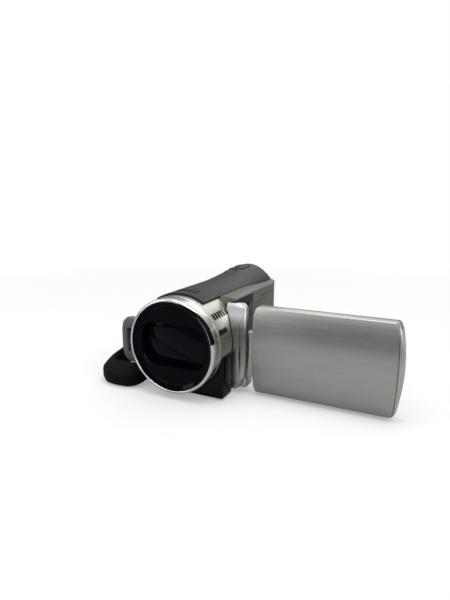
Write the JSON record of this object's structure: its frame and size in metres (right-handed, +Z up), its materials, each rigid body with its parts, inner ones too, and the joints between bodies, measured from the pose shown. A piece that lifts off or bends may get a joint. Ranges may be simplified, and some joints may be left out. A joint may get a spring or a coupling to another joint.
{
  "type": "camcorder",
  "caption": "Palm-sized memory-card camcorder with a shuttered round lens, swing-out screen door on a two-axis hinge, rear battery and padded hand strap.",
  "frame": {"origin": "on the resting plane under the lens axis, 62 mm behind the lens ring's front face", "axes": "+Z up, -Y the way the lens looks, +X the side the screen door opens to"},
  "size_m": [0.1724, 0.131, 0.0614],
  "materials": {
    "satin_silver": "satin paint",
    "brushed_aluminium": "brushed",
    "titanium_grey": "metallic satin",
    "champagne_silver": "satin anodised",
    "chrome": "polished",
    "black_gloss": "glossy",
    "black_plastic": "fine texture",
    "grey_plastic": "satin",
    "black_fabric": "woven",
    "lens_glass": "coated, polished",
    "steel": "machined",
    "circuit_green": "solder mask",
    "screen_glass": "polished",
    "record_red": "glossy"
  },
  "bodies": {
    "camera_body": {"top_cover": "titanium_grey", "right_shell": "satin_silver", "left_shell": "satin_silver", "front_lower_cover": "black_gloss", "base_plate": "black_plastic", "base_screw_1": "steel", "base_screw_2": "steel", "base_screw_3": "steel", "base_screw_4": "steel", "tripod_bush": "steel", "rear_panel": "satin_silver", "record_lamp": "record_red", "lens_ring": "chrome", "barrel_sleeve": "champagne_silver", "front_bezel": "black_gloss", "lens_mount_plate": "steel", "lens_tube": "black_plastic", "front_lens_cell": "black_plastic", "front_lens": "lens_glass", "lens_guide_rod_left": "steel", "lens_guide_rod_right": "steel", "sensor_block": "black_plastic", "hinge_column": "brushed_aluminium", "hinge_bracket": "black_plastic", "hinge_pin": "steel", "microphone_grille": "black_plastic", "speaker": "black_plastic", "socket_block": "black_plastic", "chassis": "steel", "main_board": "circuit_green", "front_strap_bracket": "grey_plastic", "rear_strap_bracket": "grey_plastic", "strap_pad": "black_fabric", "strap_belt": "black_fabric"},
    "hinge_arm": {"hinge_block": "satin_silver", "twist_shaft": "steel"},
    "screen_door": {"door_cover": "brushed_aluminium", "door_frame": "champagne_silver", "display_panel": "grey_plastic", "display_window": "screen_glass"},
    "door_record_button": {"door_record_button": "record_red"},
    "door_zoom_in_button": {"door_zoom_in_button": "grey_plastic"},
    "door_zoom_out_button": {"door_zoom_out_button": "grey_plastic"},
    "upper_shutter_blade": {"upper_shutter_blade": "black_gloss"},
    "lower_shutter_blade": {"lower_shutter_blade": "black_gloss"},
    "zoom_group": {"zoom_lens_holder": "black_plastic", "zoom_lens": "lens_glass"},
    "focus_group": {"focus_lens_holder": "black_plastic", "focus_lens": "lens_glass"},
    "zoom_lever": {"zoom_lever": "grey_plastic"},
    "photo_button": {"photo_button": "chrome"},
    "mode_dial": {"mode_dial": "grey_plastic"},
    "record_button": {"record_button": "record_red"},
    "power_button": {"power_button": "chrome"},
    "auto_button": {"auto_button": "chrome"},
    "card_door": {"card_door": "satin_silver"},
    "terminal_door": {"terminal_door": "satin_silver"},
    "memory_card": {"memory_card": "black_plastic"},
    "battery_pack": {"battery_pack": "black_plastic"},
    "battery_latch": {"battery_latch": "grey_plastic"}
  },
  "joints": [
    {"name": "lcd_swing", "type": "hinge", "parent": "camera_body", "child": "hinge_arm", "pos_m": [0.029, -0.0325, 0.02625], "axis": [0, 0, 1], "range_deg": [0, 90]},
    {"name": "lcd_twist", "type": "hinge", "parent": "hinge_arm", "child": "screen_door", "pos_m": [0.038, -0.0328, 0.02625], "axis": [1, 0, 0], "range_deg": [-90, 180]},
    {"name": "door_record_press", "type": "slide", "parent": "screen_door", "child": "door_record_button", "axis": [0, -1, 0], "range_m": [0, 0.0005], "stiffness_N_per_m": 400},
    {"name": "door_zoom_in_press", "type": "slide", "parent": "screen_door", "child": "door_zoom_in_button", "axis": [0, -1, 0], "range_m": [0, 0.0005], "stiffness_N_per_m": 400},
    {"name": "door_zoom_out_press", "type": "slide", "parent": "screen_door", "child": "door_zoom_out_button", "axis": [0, -1, 0], "range_m": [0, 0.0005], "stiffness_N_per_m": 400},
    {"name": "upper_shutter_open", "type": "hinge", "parent": "camera_body", "child": "upper_shutter_blade", "pos_m": [0, -0.0559, 0.043], "axis": [1, 0, 0], "range_deg": [0, 85]},
    {"name": "lower_shutter_open", "type": "hinge", "parent": "camera_body", "child": "lower_shutter_blade", "pos_m": [0, -0.0559, 0.017], "axis": [-1, 0, 0], "range_deg": [0, 85]},
    {"name": "zoom_travel", "type": "slide", "parent": "camera_body", "child": "zoom_group", "axis": [0, 1, 0], "range_m": [0, 0.0095]},
    {"name": "focus_travel", "type": "slide", "parent": "camera_body", "child": "focus_group", "axis": [0, 1, 0], "range_m": [0, 0.005]},
    {"name": "zoom_lever_rock", "type": "hinge", "parent": "camera_body", "child": "zoom_lever", "pos_m": [-0.004, 0.0355, 0.0584], "axis": [1, 0, 0], "range_deg": [-5, 5], "stiffness_Nm_per_rad": 0.02},
    {"name": "photo_press", "type": "slide", "parent": "camera_body", "child": "photo_button", "axis": [0, 0, -1], "range_m": [0, 0.0008], "stiffness_N_per_m": 400},
    {"name": "mode_dial_turn", "type": "hinge", "parent": "camera_body", "child": "mode_dial", "pos_m": [-0.012, 0.056, 0.049], "axis": [0, -1, 0], "range_deg": [0, 90]},
    {"name": "record_press", "type": "slide", "parent": "camera_body", "child": "record_button", "axis": [0, -1, 0], "range_m": [0, 0.0008], "stiffness_N_per_m": 400},
    {"name": "power_press", "type": "slide", "parent": "camera_body", "child": "power_button", "axis": [-1, 0, 0], "range_m": [0, 0.0006], "stiffness_N_per_m": 400},
    {"name": "auto_press", "type": "slide", "parent": "camera_body", "child": "auto_button", "axis": [-1, 0, 0], "range_m": [0, 0.0006], "stiffness_N_per_m": 400},
    {"name": "card_door_open", "type": "hinge", "parent": "camera_body", "child": "card_door", "pos_m": [0.0201, 0.011, 0.006], "axis": [0, -1, 0], "range_deg": [-95, 0]},
    {"name": "terminal_door_open", "type": "hinge", "parent": "camera_body", "child": "terminal_door", "pos_m": [0.0201, 0.039, 0.0335], "axis": [0, 0, -1], "range_deg": [-80, 0]},
    {"name": "card_push", "type": "slide", "parent": "camera_body", "child": "memory_card", "axis": [-1, 0, 0], "range_m": [0, 0.001], "stiffness_N_per_m": 200},
    {"name": "battery_slide", "type": "slide", "parent": "camera_body", "child": "battery_pack", "axis": [0, 1, 0], "range_m": [0, 0.03]},
    {"name": "battery_latch_slide", "type": "slide", "parent": "camera_body", "child": "battery_latch", "axis": [1, 0, 0], "range_m": [0, 0.002], "stiffness_N_per_m": 200}
  ],
  "couplings": [
    {"joint": "lower_shutter_open", "follows": "upper_shutter_open", "ratio": 1}
  ]
}
